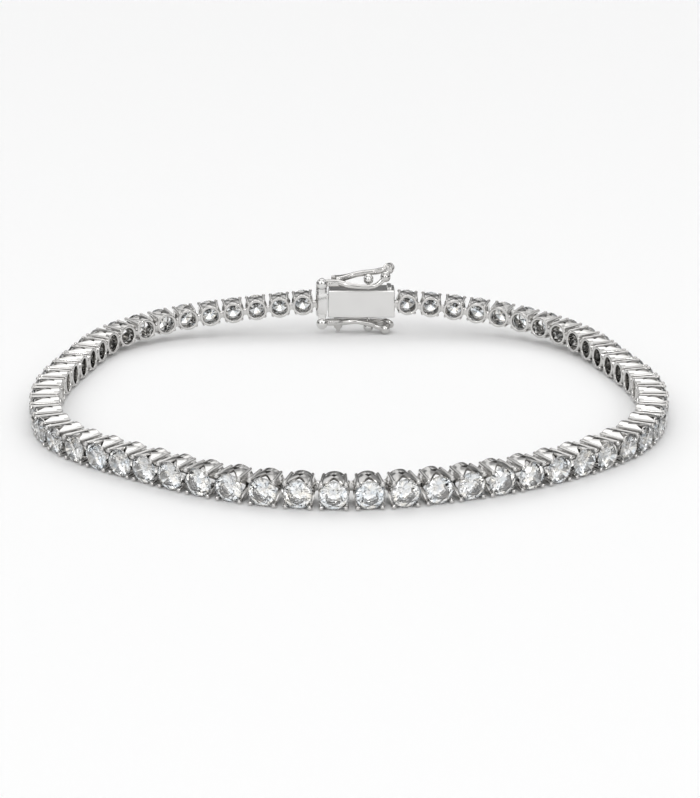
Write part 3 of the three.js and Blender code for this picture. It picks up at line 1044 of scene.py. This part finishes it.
@dataclass
class StoneLine:
    """One half of the line: its settings, the near black sheets of painted shade behind their
    windows, and its stones, each one mesh.
    """

    node: str
    sizes: Sizes
    frames: list[Matrix]
    first_neck: Matrix | Vector | None
    last_neck: Matrix | Vector | None
    seed: int

    def build(self, place: Matrix, metal: bpy.types.Material, inner: bpy.types.Material,
              clear: bpy.types.Material) -> list[bpy.types.Object]:
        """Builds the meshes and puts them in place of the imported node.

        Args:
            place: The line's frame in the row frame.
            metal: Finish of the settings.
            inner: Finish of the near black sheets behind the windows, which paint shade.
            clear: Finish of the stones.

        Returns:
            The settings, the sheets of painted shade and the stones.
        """
        setting, neck, cut = Setting(self.sizes), Neck(), Brilliant(self.sizes)
        # wall holds the sheets of painted shade that darken each setting's windows.
        template, wall = setting.shell(), setting.shade_sheet()
        chance = random.Random(self.seed)
        metalwork, painted_shade_sheets, stones = Shell(), Shell(), Shell()
        for frame in self.frames:
            metalwork.merge(template, frame)
            painted_shade_sheets.merge(wall, frame)
            stones.merge(cut.shell(chance.uniform(0, math.pi / 4)), frame)
        links = [self.first_neck, *self.frames, self.last_neck]
        for here, there in zip(links, links[1:]):
            # The halves meet at the front centre with one neck, which the right half carries.
            if here is not None and there is not None:
                metalwork.merge(neck.shell(here, there))
        side = self.node.rsplit("_", 1)[-1]
        made = [metalwork.to_object(f"settings_{side}", metal, place),
                painted_shade_sheets.to_object(f"linings_{side}", inner, place),
                stones.to_object(f"stones_{side}", clear, place)]
        for piece in made:
            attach(piece, Body.BRACELET.value)
            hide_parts(self.node)
        LOG.info("%s: %d links", self.node, len(self.frames))
        return made


@dataclass
class ClaspBox:
    """The open ended box with a stop on top and a catch ball above and below it."""

    sizes: Sizes
    edge: float = 0.14
    lip: float = 0.08
    catch_radius: float = 0.62
    post_radius: float = 0.2
    foot_sunk: float = 0.1
    upper_catch_lift: float = 1.08
    lower_catch_lift: float = 1.4
    stop_length: float = 0.6
    stop_height: float = 0.3
    stop_inset: float = 0.35
    stop_edge: float = 0.12

    def body(self) -> Shell:
        """Returns the hollow box, open at the end cap's side."""
        s = self.sizes
        block = rounded_block((s.box_start - self.lip, s.inner_face, -s.box_edge),
                              (s.box_start + s.box_length, s.inner_face + s.box_depth, s.box_edge),
                              self.edge)
        block.faces.ensure_lookup_table()
        mouth = max(block.faces, key=lambda f: -f.normal.x * f.calc_area())
        bmesh.ops.inset_individual(block, faces=[mouth], thickness=s.box_wall - self.edge)
        pushed = bmesh.ops.extrude_discrete_faces(block, faces=[mouth])["faces"]
        corners = {v for f in pushed for v in f.verts}
        bmesh.ops.translate(block, vec=(s.box_length + self.lip - s.box_wall, 0, 0),
                            verts=list(corners))
        return from_bmesh(block, smooth_below=1.0)

    def catch(self, lift: float) -> Shell:
        """A post with its ball, standing on top of the box.

        Args:
            lift: The ball's middle above the edge of the box.

        Returns:
            The shell.
        """
        s = self.sizes
        x, y = s.box_start + s.catch_reach, s.latch_middle
        shell = rod((x, y, s.box_edge - s.box_wall / 2), (x, y, s.box_edge + lift),
                    self.post_radius, 16, 0.02)
        foot = tube([(x, y, s.box_edge - self.foot_sunk), (x, y, s.box_edge + self.foot_sunk)],
                    [self.post_radius + 0.12, self.post_radius + 0.02], 6, 16)
        top = ball((x, y, s.box_edge + lift), self.catch_radius, 32)
        return shell.merge(foot).merge(top)

    def stop(self) -> Shell:
        """Returns the low rounded stop across the closed end of the box's top."""
        s = self.sizes
        end = s.box_start + s.box_length - self.stop_inset
        low = (end - self.stop_length, s.inner_face + self.stop_inset, s.box_edge - self.stop_edge)
        high = (end, s.inner_face + s.box_depth - self.stop_inset, s.box_edge + self.stop_height)
        return from_bmesh(rounded_block(low, high, self.stop_edge), smooth_below=0.2)

    def build(self, place: Matrix, metal: bpy.types.Material) -> bpy.types.Object:
        """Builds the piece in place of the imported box.

        Args:
            place: The clasp's frame in the row frame.
            metal: Its finish.

        Returns:
            The box.
        """
        shell = self.body().merge(self.stop()).merge(self.catch(self.upper_catch_lift))
        shell.merge(self.catch(self.lower_catch_lift).turned_over())
        piece = shell.to_object("clasp_box_polished", metal, place)
        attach(piece, Body.BRACELET.value)
        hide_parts("clasp_box")
        LOG.info("clasp box")
        return piece


@dataclass
class ClaspTongue:
    """The end cap with its spring tongue, hinge ears, pins and domed heads."""

    sizes: Sizes
    cap_round: float = 0.55
    lip: float = 0.08
    leaf: float = 0.4
    tongue_length: float = 5.4
    ear_width: float = 0.3
    ear_gap: float = 0.14
    ear_radius: float = 0.42
    ear_soft: float = 0.06
    ear_sunk: float = 0.3
    pin_radius: float = 0.17
    head_radius: float = 0.68
    head_rise: float = 0.49
    head_sunk: float = 0.02
    pin_inset: float = 0.1

    def cap(self) -> Shell:
        """Returns the end cap, rounded where it meets the first link."""
        s = self.sizes
        end = s.cap_start + s.cap_length + self.lip
        low = s.inner_face + (s.box_depth - s.cap_depth) / 2
        high = low + s.cap_depth

        def outline(inset: float) -> list[tuple[float, float]]:
            """Returns the cap seen from above, drawn in by an inset."""
            r = self.cap_round
            points = [(end - inset, low + inset), (end - inset, high - inset)]
            for side, middle in ((0.5, high - r), (1.0, low + r)):
                for k in range(9):
                    a = math.pi * (side + k / 16)
                    points.append((s.cap_start + r + (r - inset) * math.cos(a),
                                   middle + (r - inset) * math.sin(a)))
            return points

        half = s.cap_height / 2
        rim = [(0.0, 0.12), (0.03, 0.04), (0.12, 0.0)]
        levels = [(-half + up, inset) for up, inset in rim]
        levels += [(half - down, inset) for down, inset in reversed(rim)]
        return loft([[(x, y, z) for x, y in outline(inset)] for z, inset in levels])

    def tongue(self) -> Shell:
        """Returns the folded spring inside the box."""
        s = self.sizes
        end = s.cap_start + s.cap_length
        flat = s.inner_face + s.box_wall + s.metal_gap
        half = s.box_edge - s.box_wall - s.metal_gap
        sprung = s.inner_face + s.box_depth - s.box_wall - s.metal_gap
        tip = end + self.tongue_length
        mid = flat + self.leaf / 2
        # Out along the inner side of the box, round the fold at the tip, and back as a spring.
        path = [(end - 0.4, mid), (end + 2.0, mid), (tip - 0.5, mid), (tip - 0.2, mid + 0.2),
                (tip - 0.6, mid + 0.45), (end + 3.0, (mid + sprung) / 2 + 0.1),
                (end + 1.3, sprung - self.leaf / 2)]
        line = smoothed_path([(x, y, 0) for x, y in path], 36)
        sections = []
        for k, p in enumerate(line):
            ahead = (line[min(k + 1, len(line) - 1)] - line[max(k - 1, 0)]).normalized()
            across = Vector((-ahead.y, ahead.x, 0)) * self.leaf / 2
            up = Vector((0, 0, half))
            sections.append([p - across - up, p + across - up, p + across + up, p - across + up])
        return loft(sections, smooth=False)

    def ears(self) -> Shell:
        """Returns the upper pair of ears with the pin and its domed head."""
        s = self.sizes
        z = s.box_edge + s.pivot_lift
        outer = s.barrel_width / 2 + self.ear_gap + self.ear_width
        soft, foot = self.ear_soft, s.cap_height / 2 - self.ear_sunk
        shell = Shell()
        for offset in (-outer, outer - self.ear_width):
            start = s.pivot_middle + offset
            sections = []
            for depth, inset in ((0.0, soft), (soft, 0.0), (self.ear_width - soft, 0.0),
                                 (self.ear_width, soft)):
                r = self.ear_radius - inset
                ring = [(s.axis_x + r, start + depth, foot)]
                for k in range(17):
                    a = math.pi * k / 16
                    ring.append((s.axis_x + r * math.cos(a), start + depth, z + r * math.sin(a)))
                ring.append((s.axis_x - r, start + depth, foot))
                sections.append(list(reversed(ring)))
            shell.merge(loft(sections))
        shell.merge(rod((s.axis_x, s.pivot_middle - outer + self.pin_inset, z),
                        (s.axis_x, s.pivot_middle + outer - self.pin_inset / 2, z), self.pin_radius))
        head = (s.axis_x, s.pivot_middle - outer + self.head_sunk, z)
        shell.merge(ball(head, self.head_radius, 28, self.head_rise / self.head_radius))
        return shell

    def build(self, place: Matrix, metal: bpy.types.Material) -> bpy.types.Object:
        """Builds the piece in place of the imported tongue.

        Args:
            place: The clasp's frame in the row frame.
            metal: Its finish.

        Returns:
            The tongue.
        """
        upper = self.ears()
        shell = self.cap().merge(self.tongue()).merge(upper).merge(upper.turned_over())
        piece = shell.to_object("clasp_tongue_polished", metal, place)
        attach(piece, Body.BRACELET.value)
        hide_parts("clasp_tongue")
        LOG.info("clasp tongue")
        return piece


@dataclass
class SafetyLatch:
    """A hinged safety latch: barrel, stem, wire and band round an eye, end ball and thumb tab."""

    sizes: Sizes
    side: Side
    rail: tuple[tuple[float, float, float], ...]
    band: tuple[tuple[float, float], ...]
    barrel_radius: float = 0.48
    hole_radius: float = 0.27
    rail_radius: float = 0.28
    band_thickness: float = 0.66
    band_drop: float = 0.06
    band_width: float = 0.75
    web_span: tuple[float, float] = (0.13, 0.44)
    web_lean: float = 0.2
    web_waist: float = 0.16
    tip_span: tuple[float, float] = (0.8, 0.16)
    tip_closing: float = 0.35
    root_span: float = 0.1
    root_taper: float = 0.25
    tab_radius: float = 0.8
    tab_thickness: float = 0.48
    tab_depth: float = 1.9
    tab_lean: float = 27.0
    tab_tilt: float = 40.0
    nub_reach: float = 1.07
    nub_radius: float = 0.6
    nub_lift: float = 1.95
    nub_squash: float = 0.8
    stem_slope: float = 0.03
    rail_shares: tuple[float, ...] = (1.0, 1.3, 1.2, 1.0, 1.0, 1.1, 1.25)
    plate_steps: int = 36
    round_steps: int = 20

    def spot(self, reach: float, lift: float, depth: float) -> Vector:
        """Returns a point from its reach along the box, its lift and its depth."""
        return Vector((self.sizes.box_start + reach, depth, self.sizes.box_edge + lift))

    def eye_spot(self, reach: float, lift: float, share: float) -> Vector:
        """A point given in shares of the end ball's place.

        Args:
            reach: Share of the end ball's reach.
            lift: Share of the end ball's lift.
            share: Share of the eye's half width toward the inner side.

        Returns:
            The point.
        """
        s = self.sizes
        return self.spot(reach * s.end_ball_reach, lift * s.end_ball_lift,
                         s.latch_middle - share * s.eye_half_width)

    def barrel(self) -> Shell:
        """Returns the hinge barrel, bored for its pin."""
        s = self.sizes
        half = s.barrel_width / 2
        r, soft = self.barrel_radius, 0.05
        profile = [(self.hole_radius, -half), (r - soft, -half), (r, -half + soft), (r, half - soft),
                   (r - soft, half), (self.hole_radius, half)]
        place = Matrix.Translation((s.axis_x, s.pivot_middle, s.box_edge + s.pivot_lift))
        return Shell().merge(revolve(profile, 32), place)

    def stem(self) -> Shell:
        """Returns the flat rounded stem from the barrel to the eye."""
        s = self.sizes
        half = s.barrel_width / 2
        # Reach from the box, half height, and half width as a share of the barrel's.
        rows = ((s.axis_x + 0.34 - s.box_start, 0.36, 0.9), (0.0, 0.42, 1.0), (0.5, 0.42, 1.05),
                (1.1, 0.40, 1.15), (1.6, 0.34, 1.2), (2.0, 0.24, 1.1))
        sections = []
        for reach, rise, widen in rows:
            lift = s.pivot_lift - self.stem_slope * max(reach, 0.0)
            sections.append(squared_ring(self.spot(reach, lift, s.pivot_middle),
                                         half * widen, rise, self.round_steps))
        return loft(sections)

    def sheet(self, line: Sequence[Vector], near: Sequence[float], far: Sequence[float]) -> Shell:
        """A flat sheet with rounded edges that follows a line.

        Args:
            line: Points of its middle, of which only X and Z are used.
            near: Depth of its inner edge at each point.
            far: Depth of its outer edge at each point.

        Returns:
            The shell.
        """
        sections = []
        for k, p in enumerate(line):
            ahead = line[min(k + 1, len(line) - 1)] - line[max(k - 1, 0)]
            over = Vector((-ahead.z, 0, ahead.x)).normalized()
            middle, half = (near[k] + far[k]) / 2, (far[k] - near[k]) / 2
            thick = self.band_thickness / 2
            sections.append([Vector((p.x, middle + half * squared(c, 0.45), p.z))
                             + over * (thick * squared(u, 0.7)) for c, u in circle(self.round_steps)])
        return loft(sections)

    def plate(self) -> Shell:
        """Returns the band behind the eye and the web that joins it to the stem."""
        s = self.sizes
        near = s.latch_middle + s.eye_half_width - self.rail_radius
        far = near + self.band_width
        drop = Vector((0, 0, self.band_drop))
        steps = self.plate_steps
        line = smoothed_path([self.eye_spot(reach, lift, 0.0) - drop for reach, lift in self.band],
                             steps)
        first, last = self.web_span
        tip_start, tip_length = self.tip_span
        inner = []
        for p in line:
            share = (p.x - s.box_start) / s.end_ball_reach
            if share <= first:
                inner.append(near)
                continue
            ease = min((share - first) / (last - first), 1.0)
            web = 1 - ease * ease * (3 - 2 * ease)
            closing = min(max((share - tip_start) / tip_length, 0.0), 1.0)
            edge = near - self.web_waist * math.sin(math.pi * ease) * (1 - web)
            inner.append((s.pivot_middle + self.web_lean) * web + edge * (1 - web)
                         - self.tip_closing * closing)
        outer = [far - self.root_taper * max(0.0, self.root_span - k / steps) / self.root_span
                 for k in range(steps + 1)]
        return self.sheet(line, inner, outer)

    def tab(self, centre: Vector) -> Shell:
        """The rounded thumb tab with a groove round its face.

        Args:
            centre: Its middle.

        Returns:
            The shell.
        """
        r, h = self.tab_radius, self.tab_thickness / 2
        # Radius and rise: the sunk face, the groove round it, the rim and the back.
        profile = [(0.02, h - 0.06), (r * 0.55, h - 0.06), (r * 0.64, h - 0.1),
                   (r * 0.74, h - 0.02), (r * 0.88, h), (r, h * 0.5), (r, -h * 0.5),
                   (r * 0.88, -h), (0.02, -h)]
        disc = revolve(profile, 32)
        upright = Matrix.Rotation(math.pi / 2, 4, "X")
        lean = Matrix.Rotation(-math.radians(self.tab_lean), 4, "Y")
        tilt = Matrix.Rotation(math.radians(self.tab_tilt), 4, "X")
        return Shell().merge(disc, Matrix.Translation(centre) @ tilt @ lean @ upright)

    def nub(self) -> Shell:
        """Returns the pointed nub that stands on the lower latch's stem."""
        s = self.sizes
        # Lift above the box, and radius as a share of the nub's.
        rows = ((s.pivot_lift, 1.0), (s.pivot_lift + 0.3, 0.97), (1.38, 0.78), (1.55, 0.5),
                (1.68, 0.36), (self.nub_lift - 0.06, 0.33), (self.nub_lift, 0.22))
        sections = []
        for lift, share in rows:
            r = self.nub_radius * share
            sections.append([self.spot(self.nub_reach + r * c, lift,
                                       s.pivot_middle + r * self.nub_squash * u)
                             for c, u in circle(self.round_steps)])
        return loft(sections)

    def shell(self) -> Shell:
        """Returns the whole latch as it lies above the box."""
        s = self.sizes
        r = self.rail_radius
        end = self.spot(s.end_ball_reach, s.end_ball_lift, s.inner_face + s.end_ball_depth)
        front = [self.eye_spot(*row) for row in self.rail]
        root = self.spot(0.2, s.pivot_lift - 0.05, s.pivot_middle - 0.1)
        made = self.barrel().merge(self.stem())
        made.merge(tube([root, *front, end], [r * share for share in self.rail_shares], 48, 20))
        made.merge(self.plate())
        tab = self.eye_spot(*self.band[-1], 0.0)
        tab.y = s.inner_face + self.tab_depth
        made.merge(tube([end, (end + tab) / 2 + Vector((0.12, 0, -0.05)), tab],
                        [r * 1.2, r * 1.2, r * 1.3], 12, 18))
        made.merge(ball(end, s.end_ball_radius, 36))
        made.merge(self.tab(tab))
        if self.side is Side.BOTTOM:
            made.merge(self.nub())
        return made if self.side is Side.TOP else made.turned_over()

    def build(self, place: Matrix, metal: bpy.types.Material) -> bpy.types.Object:
        """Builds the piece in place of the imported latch.

        Args:
            place: The clasp's frame in the row frame.
            metal: Its finish.

        Returns:
            The latch.
        """
        word = self.side.name.lower()
        piece = self.shell().to_object(f"latch_{word}_polished", metal, place)
        body = Body.LATCH_TOP if self.side is Side.TOP else Body.LATCH_BOTTOM
        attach(piece, body.value)
        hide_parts(f"safety_latch_{word}")
        LOG.info("safety latch %s", word)
        return piece


@dataclass
class Studio:
    """Camera, floor, sky and lights."""

    target: tuple[float, float, float] = (0.13, -6.36, 2.53)
    distance: float = 125.6
    elevation: float = 18.85
    lens: float = 58.9
    sensor_width: float = 36.0
    clip_span: tuple[float, float] = (0.005, 40.0)
    floor_size: float = 9000.0
    sky_strength: float = 0.83
    # Brightness of the sky by height: the sine of the elevation, and the level.
    bands: tuple[tuple[float, float], ...] = (
        (0.0, 0.16), (0.22, 0.24), (0.27, 0.38), (0.33, 0.84), (0.46, 0.88), (0.62, 1.1),
        (1.0, 1.1),
    )
    # Softboxes and flags: direction, radius of the full part and of the rim in degrees, level.
    patches: tuple[tuple[Point, float, float, float], ...] = (
        ((0.0, -0.85, 0.52), 30.0, 58.0, 1.5),
        ((0.0, -0.946, 0.323), 9.0, 15.0, 0.02),
        ((0.9, -0.35, 0.25), 12.0, 20.0, 0.05),
        ((-0.9, -0.35, 0.25), 12.0, 20.0, 0.05),
        ((0.45, -0.35, 0.8), 8.0, 14.0, 0.05),
        ((-0.55, 0.1, 0.85), 8.0, 14.0, 0.05),
        ((0.0, 0.6, 0.8), 14.0, 25.0, 2.3),
        ((0.3, -0.85, 0.5), 3.0, 6.0, 6.0),
        ((-0.35, -0.8, 0.55), 3.0, 6.0, 6.0),
    )
    cloud_scale: float = 6.0
    cloud_depth: float = 0.9
    cloud_edges: tuple[float, float] = (0.42, 0.58)
    # Small hard lights: name and place in millimetres.
    sparks: tuple[tuple[str, Point], ...] = (
        ("spark_left", (-160, -260, 260)), ("spark_right", (200, -220, 230)),
    )
    spark_size: float = 20.0
    spark_power: float = 0.05

    def camera(self) -> None:
        """Places the camera at the photograph's viewing angle."""
        data = bpy.data.cameras.new("camera")
        data.lens = self.lens
        data.sensor_width = self.sensor_width
        data.clip_start, data.clip_end = self.clip_span
        made = bpy.data.objects.new("camera", data)
        bpy.context.scene.collection.objects.link(made)
        tilt = math.radians(self.elevation)
        away = Vector((0, -math.cos(tilt), math.sin(tilt))) * self.distance
        made.location = (Vector(self.target) + away) * MM
        made.rotation_euler = (math.pi / 2 - tilt, 0, 0)
        bpy.context.scene.camera = made

    def floor(self) -> None:
        """Lays the floor under the object."""
        half = self.floor_size / 2
        corners = [(-half, -half, 0), (half, -half, 0), (half, half, 0), (-half, half, 0)]
        shell = Shell().add(corners, [(0, 1, 2, 3)], smooth=False)
        floor = shell.to_object("floor", PaleFloor("pale_floor").make(), Matrix.Identity(4))

    def sky(self) -> None:
        """Sets a studio that is paler overhead, with uneven cloth, flags and softboxes."""
        world = bpy.data.worlds.new("studio")
        world.use_nodes = True
        bpy.context.scene.world = world
        paint = Paint(world.node_tree)
        where = paint.node("ShaderNodeTexCoord", output="Generated")
        rise = paint.node("ShaderNodeVectorMath", {"operation": "DOT_PRODUCT"},
                          {0: where, 1: (0.0, 0.0, 1.0)}, output="Value")
        stops = [(place, (level, level, level)) for place, level in self.bands]
        cloud = paint.node("ShaderNodeTexNoise", {"noise_dimensions": "3D"},
                           {"Vector": where, "Scale": self.cloud_scale, "Detail": 1.0})
        low, high = self.cloud_edges
        patchy = paint.node("ShaderNodeMapRange", {"interpolation_type": "SMOOTHSTEP"}, {
            0: cloud, 1: low, 2: high, 3: 1 - self.cloud_depth / 2, 4: 1 + self.cloud_depth / 2})
        strength = paint.node("ShaderNodeValToRGB", {"stops": stops}, {0: rise}) * patchy
        for direction, inner, outer, level in self.patches:
            aim = Vector(direction).normalized()
            facing = paint.node("ShaderNodeVectorMath", {"operation": "DOT_PRODUCT"},
                                {0: where, 1: tuple(aim)}, output="Value")
            mask = paint.node("ShaderNodeMapRange", {"interpolation_type": "SMOOTHSTEP"}, {
                0: facing, 1: math.cos(math.radians(outer)), 2: math.cos(math.radians(inner)),
                3: 0.0, 4: 1.0})
            strength = strength * (1 - mask) + mask * level
        sky = paint.node("ShaderNodeBackground", None, {
            "Color": (1.0, 1.0, 1.0, 1.0), "Strength": strength * self.sky_strength})
        paint.node("ShaderNodeOutputWorld", None, {"Surface": sky})

    def light(self, name: str, where: Point) -> None:
        """Adds a small square light that faces the middle of the bracelet.

        Args:
            name: Its name.
            where: Its place in millimetres.
        """
        data = bpy.data.lights.new(name, "AREA")
        data.size = self.spark_size * MM
        data.energy = self.spark_power
        made = bpy.data.objects.new(name, data)
        bpy.context.scene.collection.objects.link(made)
        made.location = Vector(where) * MM
        made.rotation_euler = (-Vector(where)).to_track_quat("-Z", "Y").to_euler()

    def build(self) -> None:
        """Builds all of it, the camera first."""
        self.camera()
        self.floor()
        self.sky()
        for name, where in self.sparks:
            self.light(name, where)
        bpy.context.scene.view_settings.view_transform = "Standard"
        LOG.info("studio")


# Points of the latches in shares of the end ball's reach and lift. A rail's third value is the
# share of the eye's half width toward the inner side.
UPPER_RAIL = ((0.15, 0.5, 0.4), (0.3, 0.41, 0.8), (0.48, 0.31, 1.0), (0.66, 0.26, 1.0),
              (0.78, 0.31, 1.0), (0.87, 0.5, 1.0), (0.94, 0.75, 0.9))
LOWER_RAIL = ((0.15, 0.53, 0.4), (0.3, 0.42, 0.8), (0.45, 0.34, 1.0), (0.58, 0.43, 1.0),
              (0.75, 0.58, 1.0), (0.87, 0.79, 1.0))
UPPER_BAND = ((0.04, 0.68), (0.28, 0.76), (0.55, 1.03), (0.8, 1.17), (0.92, 1.29), (1.05, 1.45))
LOWER_BAND = ((0.08, 0.6), (0.28, 0.62), (0.55, 0.66), (0.8, 0.7), (0.92, 0.73), (1.05, 0.78))


def main() -> None:
    """Builds the studio and every sub-assembly."""
    logging.basicConfig(level=logging.INFO, format="%(name)s: %(message)s")
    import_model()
    studio = Studio()
    studio.build()
    sizes = Sizes()
    low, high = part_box("clasp_tongue")
    middle_height = (low.z + high.z) / 2 / MM
    low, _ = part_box("clasp_box")
    clasp_origin = Vector((low.x / MM - sizes.box_start, low.y / MM - sizes.inner_face,
                           middle_height))
    clasp_place = Matrix.Translation(clasp_origin)
    line_place = Matrix.Translation(clasp_origin - Vector((0, 0, sizes.clasp_height)))

    frames = Route(sizes).frames()
    height = sizes.clasp_height
    box_end = Vector((sizes.box_start + sizes.box_length - NECK_SUNK, 0, height))
    cap_end = Vector((sizes.cap_start + NECK_SUNK, 0, height))
    gold = PolishedGold("white_gold_settings").make()
    stone = ClearStone("brilliant_stone").make()
    # Near black metal for the sheets behind the windows: painted shade.
    shade_sheet_finish = PolishedGold("painted_shade_gold", bright=(0.07, 0.069, 0.068), worn=(0.04, 0.04, 0.04),
                        smooth=0.4, rough=0.6).make()
    right = sizes.links_right
    StoneLine("stone_line_right", sizes, frames[:right], box_end, frames[right], 11).build(
        line_place, gold, shade_sheet_finish, stone)
    StoneLine("stone_line_left", sizes, frames[right:], None, cap_end, 23).build(
        line_place, gold, shade_sheet_finish, stone)

    clasp_gold = PolishedGold("white_gold_clasp", bright=(0.74, 0.735, 0.725),
                              worn=(0.68, 0.675, 0.665), rough=0.2, smooth=0.1).make()
    latch_gold = PolishedGold("white_gold_latch").make()
    ClaspBox(sizes).build(clasp_place, clasp_gold)
    ClaspTongue(sizes).build(clasp_place, clasp_gold)
    SafetyLatch(sizes, Side.TOP, UPPER_RAIL, UPPER_BAND).build(clasp_place, latch_gold)
    SafetyLatch(sizes, Side.BOTTOM, LOWER_RAIL, LOWER_BAND).build(clasp_place, latch_gold)


if __name__ == "__main__":
    main()
